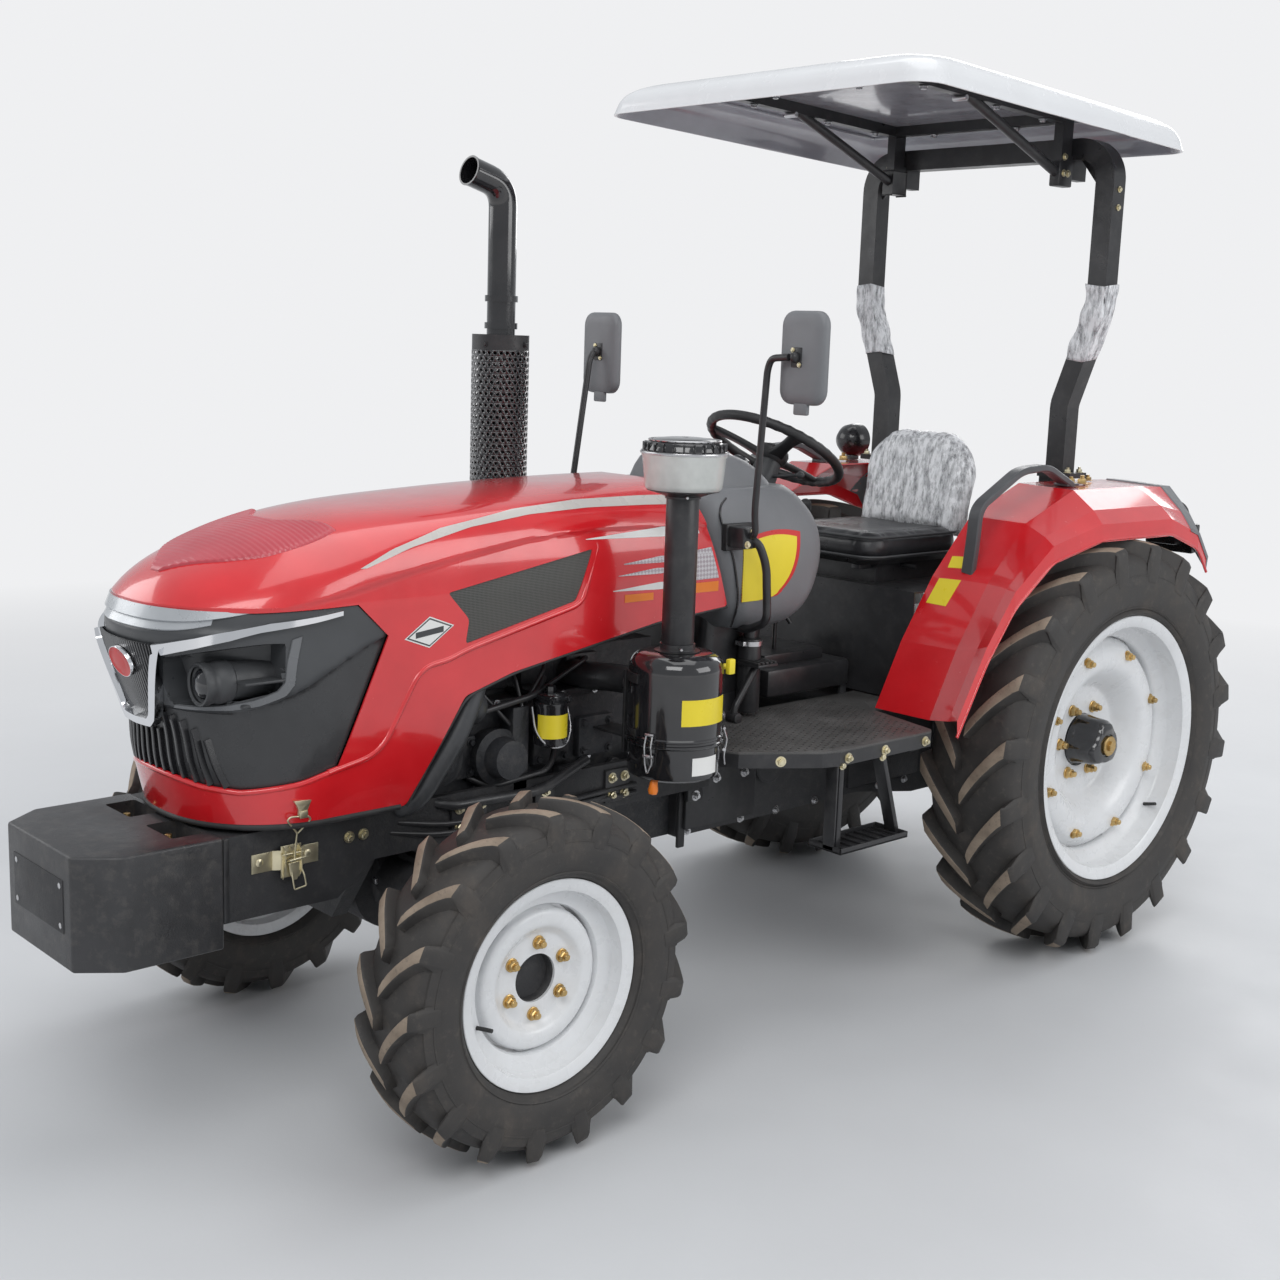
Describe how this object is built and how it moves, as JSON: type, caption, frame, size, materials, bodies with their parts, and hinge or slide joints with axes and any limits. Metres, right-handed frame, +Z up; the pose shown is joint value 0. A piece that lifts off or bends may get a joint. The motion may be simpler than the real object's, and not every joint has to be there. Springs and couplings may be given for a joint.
{
  "type": "farm tractor",
  "caption": "Compact farm tractor with four-wheel drive, a lifting hood, steered front wheels, a canopy on a two-post roll bar, front ballast and a rear three-point hitch.",
  "frame": {"origin": "on the ground, in the middle of the bounding box seen from above", "axes": "-Y is forwards, +X is the tractor's left, +Z is up"},
  "size_m": [1.408, 3.73, 2.4214],
  "materials": {
    "tyre_rubber": "matt rubber",
    "rim_white": "semi-gloss white paint",
    "casting_black": "satin black paint over castings",
    "shaft_steel": "machined steel",
    "driveline_black": "satin black paint",
    "frame_black": "gloss black paint",
    "clear_bowl": "clear plastic bowl",
    "body_red": "high-gloss red paint",
    "mask_charcoal": "satin charcoal plastic",
    "trim_chrome": "chrome plate",
    "lamp_glass": "dark clear lens",
    "mesh_black": "black mesh",
    "console_grey": "grained grey plastic",
    "grip_black": "soft black grip",
    "seat_vinyl": "black vinyl",
    "canopy_white": "gloss off-white plastic",
    "bar_grey": "satin dark grey paint",
    "lamp_dark": "black lamp housings"
  },
  "bodies": {
    "chassis": {"gearbox_housing": "casting_black", "drawbar": "driveline_black", "front_frame": "driveline_black", "ballast_block": "casting_black", "front_axle_beam": "casting_black", "engine_block": "casting_black", "air_cleaner": "frame_black", "pre_cleaner": "clear_bowl", "exhaust": "frame_black", "dash_console": "console_grey", "seat_deck": "frame_black", "seat_base": "frame_black", "seat_cushion": "seat_vinyl", "seat_back": "seat_vinyl", "fenders": "body_red", "roll_bar": "frame_black", "canopy": "canopy_white", "grab_bars": "bar_grey", "platform": "frame_black", "mirrors": "frame_black", "controls": "frame_black", "rear_lamps": "lamp_dark", "engine_fittings": "frame_black"},
    "wheel_front_left": {"front_tyre_left": "tyre_rubber", "front_rim_left": "rim_white"},
    "wheel_front_right": {"front_tyre_right": "tyre_rubber", "front_rim_right": "rim_white"},
    "wheel_rear_left": {"rear_tyre_left": "tyre_rubber", "rear_rim_left": "rim_white"},
    "wheel_rear_right": {"rear_tyre_right": "tyre_rubber", "rear_rim_right": "rim_white"},
    "knuckle_left": {"knuckle_left": "casting_black"},
    "knuckle_right": {"knuckle_right": "casting_black"},
    "tie_rod": {"tie_rod": "driveline_black"},
    "steering_wheel": {"steering_wheel": "grip_black"},
    "hood": {"hood": "body_red", "hood_mask": "mask_charcoal", "grille_trim": "trim_chrome", "headlamps": "lamp_glass", "hood_mesh": "mesh_black"},
    "pto_shaft": {"pto_shaft": "shaft_steel"},
    "lift_arms": {"lift_arms": "driveline_black"},
    "lift_rods": {"lift_rods": "driveline_black"},
    "lower_links": {"lower_links": "driveline_black"},
    "top_link": {"top_link": "driveline_black"}
  },
  "joints": [
    {"name": "spin_rear_left", "type": "hinge", "parent": "chassis", "child": "wheel_rear_left", "pos_m": [0.56, 1.005, 0.6], "axis": [1, 0, 0], "continuous": true},
    {"name": "spin_rear_right", "type": "hinge", "parent": "chassis", "child": "wheel_rear_right", "pos_m": [-0.56, 1.005, 0.6], "axis": [1, 0, 0], "continuous": true},
    {"name": "steer_left", "type": "hinge", "parent": "chassis", "child": "knuckle_left", "pos_m": [0.455, -1.06, 0.385], "axis": [0, 0, 1], "range_deg": [-32, 32]},
    {"name": "steer_right", "type": "hinge", "parent": "chassis", "child": "knuckle_right", "pos_m": [-0.455, -1.06, 0.385], "axis": [0, 0, 1], "range_deg": [-32, 32]},
    {"name": "spin_front_left", "type": "hinge", "parent": "knuckle_left", "child": "wheel_front_left", "pos_m": [0.575, -1.06, 0.385], "axis": [1, 0, 0], "continuous": true},
    {"name": "spin_front_right", "type": "hinge", "parent": "knuckle_right", "child": "wheel_front_right", "pos_m": [-0.575, -1.06, 0.385], "axis": [1, 0, 0], "continuous": true},
    {"name": "tie_rod_pivot", "type": "hinge", "parent": "knuckle_left", "child": "tie_rod", "pos_m": [0.455, -0.91, 0.35], "axis": [0, 0, 1], "range_deg": [-32, 32]},
    {"name": "steering_wheel_turn", "type": "hinge", "parent": "chassis", "child": "steering_wheel", "pos_m": [0, 0.235, 1.42], "axis": [0, 0.5, 0.866], "range_deg": [-512, 512]},
    {"name": "hood_lift", "type": "hinge", "parent": "chassis", "child": "hood", "pos_m": [0, -0.325, 1.34], "axis": [-1, 0, 0], "range_deg": [0, 45]},
    {"name": "pto_spin", "type": "hinge", "parent": "chassis", "child": "pto_shaft", "pos_m": [0, 1.24, 0.61], "axis": [0, 1, 0], "continuous": true},
    {"name": "lift_arm_turn", "type": "hinge", "parent": "chassis", "child": "lift_arms", "pos_m": [0, 1.135, 0.83], "axis": [1, 0, 0], "range_deg": [-18, 28]},
    {"name": "lift_rod_turn", "type": "hinge", "parent": "lift_arms", "child": "lift_rods", "pos_m": [0, 1.435, 0.83], "axis": [1, 0, 0], "range_deg": [-28, 18]},
    {"name": "lower_link_turn", "type": "hinge", "parent": "chassis", "child": "lower_links", "pos_m": [0, 1.065, 0.43], "axis": [1, 0, 0], "range_deg": [-18, 28]},
    {"name": "top_link_turn", "type": "hinge", "parent": "chassis", "child": "top_link", "pos_m": [0, 1.285, 0.725], "axis": [1, 0, 0], "range_deg": [-30, 35]}
  ],
  "couplings": [
    {"joint": "steer_right", "follows": "steer_left", "ratio": 1},
    {"joint": "tie_rod_pivot", "follows": "steer_left", "ratio": -1},
    {"joint": "steering_wheel_turn", "follows": "steer_left", "ratio": 16},
    {"joint": "lift_rod_turn", "follows": "lift_arm_turn", "ratio": -1},
    {"joint": "lower_link_turn", "follows": "lift_arm_turn", "ratio": 1}
  ]
}
